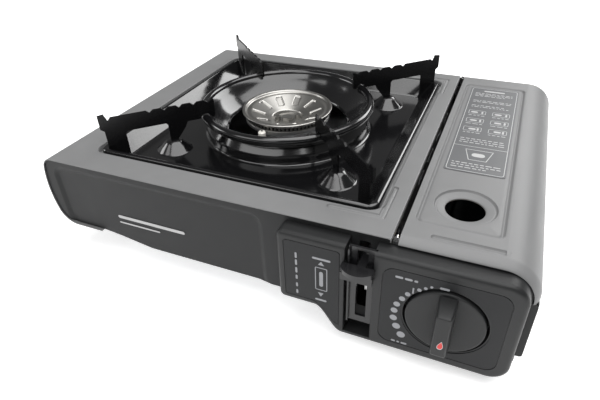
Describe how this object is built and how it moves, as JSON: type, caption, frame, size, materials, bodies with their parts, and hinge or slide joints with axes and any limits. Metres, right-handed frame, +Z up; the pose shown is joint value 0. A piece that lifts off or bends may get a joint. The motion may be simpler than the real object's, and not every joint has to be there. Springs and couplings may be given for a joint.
{
  "type": "camping stove",
  "caption": "Low portable gas stove with a square drip pan, raised wind ring, serrated pot-rest arms, round burner, canister bay under a hinged lid, control panel with knob and lever.",
  "frame": {"origin": "on the ground, under the middle of the stove's overall footprint", "axes": "+Z up; +X from the burner side to the canister side; -Y is the front, where the control panel is"},
  "size_m": [0.343, 0.2834, 0.112],
  "materials": {
    "deck_enamel": "satin dark grey powder coat",
    "wall_enamel": "satin black-grey paint",
    "zinc_sheet": "bare zinc-coated steel",
    "foot_rubber": "matt",
    "panel_plastic": "fine matt moulding",
    "guide_plastic": "gloss",
    "overlay_film": "satin film",
    "screw_steel": "plated",
    "cast_aluminium": "as cast",
    "brass": "turned",
    "nickel": "bright plated",
    "ceramic_white": "glazed",
    "igniter_black": "matt",
    "lead_red": "matt",
    "knob_plastic": "fine matt moulding",
    "cam_plastic": "natural",
    "flame_red": "gloss",
    "pan_enamel": "gloss black vitreous enamel",
    "label_film": "satin film"
  },
  "bodies": {
    "body": {"deck_shell": "deck_enamel", "front_wall": "wall_enamel", "rear_wall": "wall_enamel", "base_plate": "zinc_sheet", "canister_tray": "wall_enamel", "partition_wall": "zinc_sheet", "foot_front_left": "foot_rubber", "foot_front_right": "foot_rubber", "foot_rear_left": "foot_rubber", "foot_rear_right": "foot_rubber", "hinge_bracket_front": "screw_steel", "hinge_bracket_rear": "screw_steel", "control_panel": "panel_plastic", "lever_guide": "guide_plastic", "lock_overlay": "overlay_film", "dial_overlay": "overlay_film", "panel_screw_left": "screw_steel", "panel_screw_right": "screw_steel", "valve_bracket": "zinc_sheet", "regulator_body": "cast_aluminium", "regulator_cap": "brass", "regulator_screw_left": "screw_steel", "regulator_screw_right": "screw_steel", "canister_socket": "brass", "jet_nozzle": "brass", "cradle_left": "zinc_sheet", "cradle_right": "zinc_sheet", "piezo_body": "igniter_black", "igniter_wire": "lead_red", "igniter_bracket": "zinc_sheet", "electrode": "ceramic_white", "electrode_pin": "screw_steel", "mixing_tube": "cast_aluminium", "burner_bracket": "zinc_sheet", "burner_body": "cast_aluminium", "burner_ring": "nickel", "burner_cap": "nickel", "cap_screw_left": "nickel", "cap_screw_right": "nickel", "cap_nut": "nickel"},
    "knob": {"knob_disc": "knob_plastic", "knob_bar": "knob_plastic", "flame_mark": "flame_red", "valve_spindle": "brass", "ignition_cam": "cam_plastic"},
    "plunger": {"piezo_plunger": "cam_plastic"},
    "lever": {"lock_lever": "guide_plastic", "lever_plate": "screw_steel"},
    "carriage": {"carriage_bar": "screw_steel", "carriage_yoke": "screw_steel"},
    "pan": {"drip_pan": "pan_enamel", "arm_front_left": "pan_enamel", "arm_front_right": "pan_enamel", "arm_rear_left": "pan_enamel", "arm_rear_right": "pan_enamel"},
    "lid": {"canister_lid": "deck_enamel", "lid_label": "label_film", "lid_bumper": "foot_rubber"}
  },
  "joints": [
    {"name": "lid_hinge", "type": "hinge", "parent": "body", "child": "lid", "pos_m": [0.0935, 0.013, 0.085], "axis": [0, -1, 0], "range_deg": [0, 100]},
    {"name": "knob_turn", "type": "hinge", "parent": "body", "child": "knob", "pos_m": [0.127, -0.12, 0.044], "axis": [0, -1, 0], "range_deg": [0, 135]},
    {"name": "plunger_slide", "type": "slide", "parent": "body", "child": "plunger", "axis": [0, 0, -1], "range_m": [0, 0.00501]},
    {"name": "lever_slide", "type": "slide", "parent": "body", "child": "lever", "axis": [0, 0, -1], "range_m": [0, 0.025]},
    {"name": "carriage_slide", "type": "slide", "parent": "body", "child": "carriage", "axis": [0, -1, 0], "range_m": [0, 0.00701]},
    {"name": "pan_lift", "type": "slide", "parent": "body", "child": "pan", "axis": [0, 0, 1], "range_m": [0, 0.08]}
  ],
  "couplings": [
    {"joint": "carriage_slide", "follows": "lever_slide", "ratio": 0.28},
    {"joint": "plunger_slide", "follows": "knob_turn", "m_per_rad": 0.0021221}
  ]
}
